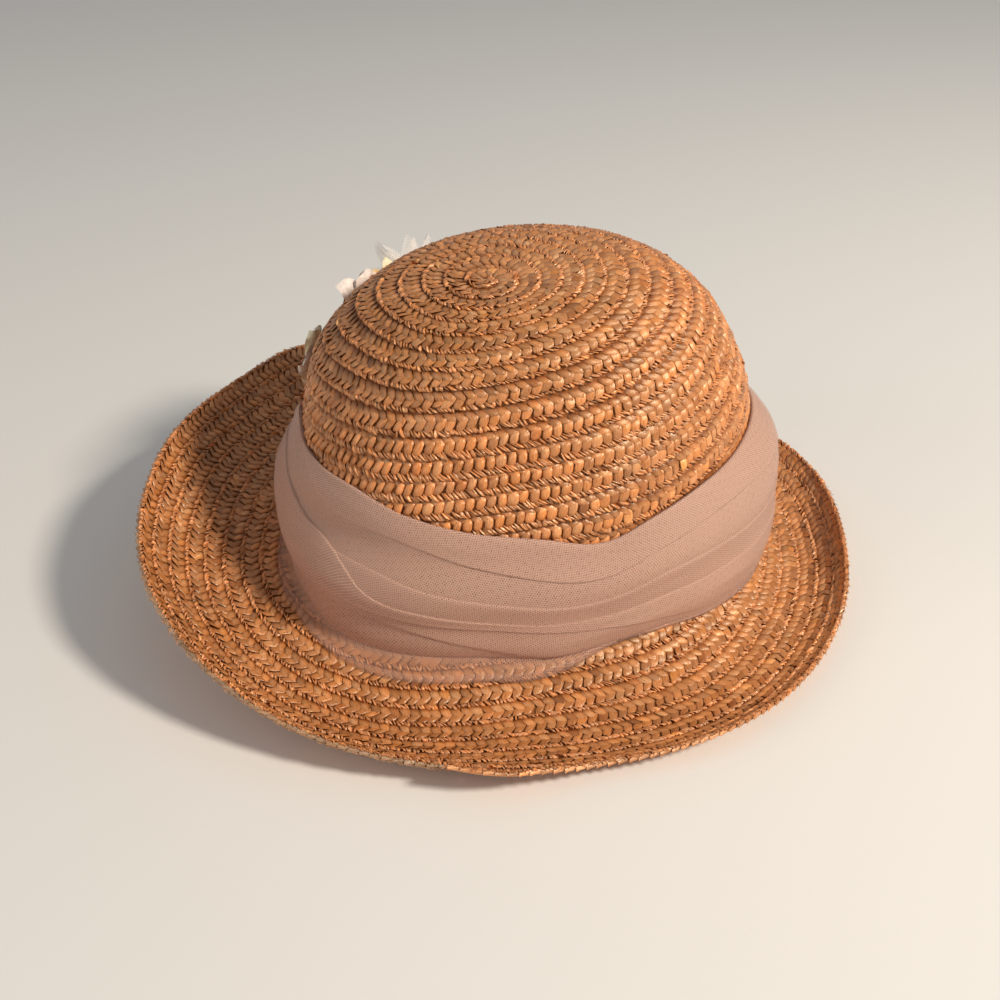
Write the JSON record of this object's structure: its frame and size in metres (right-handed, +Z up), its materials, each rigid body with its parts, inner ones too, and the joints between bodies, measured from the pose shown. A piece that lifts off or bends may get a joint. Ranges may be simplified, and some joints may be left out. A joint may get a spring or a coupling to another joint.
{
  "type": "straw hat",
  "caption": "Straw hat with a domed oval crown, a brim rolled up at one side, a gathered net band and cloth flowers.",
  "frame": {"origin": "on the table under the middle of the hat's outline", "axes": "+Z up out of the crown; -Y towards the front of the picture; +X to its right, along the longer way of the head"},
  "size_m": [0.3116, 0.313, 0.1501],
  "materials": {
    "straw": "matt plaited straw",
    "net": "sheer net",
    "petal": "matt cloth"
  },
  "bodies": {
    "root": {"crown": "straw", "brim": "straw", "tulle_band": "net", "flower_large": "petal", "flower_small": "petal", "tulle_tuft": "net"}
  },
  "joints": []
}
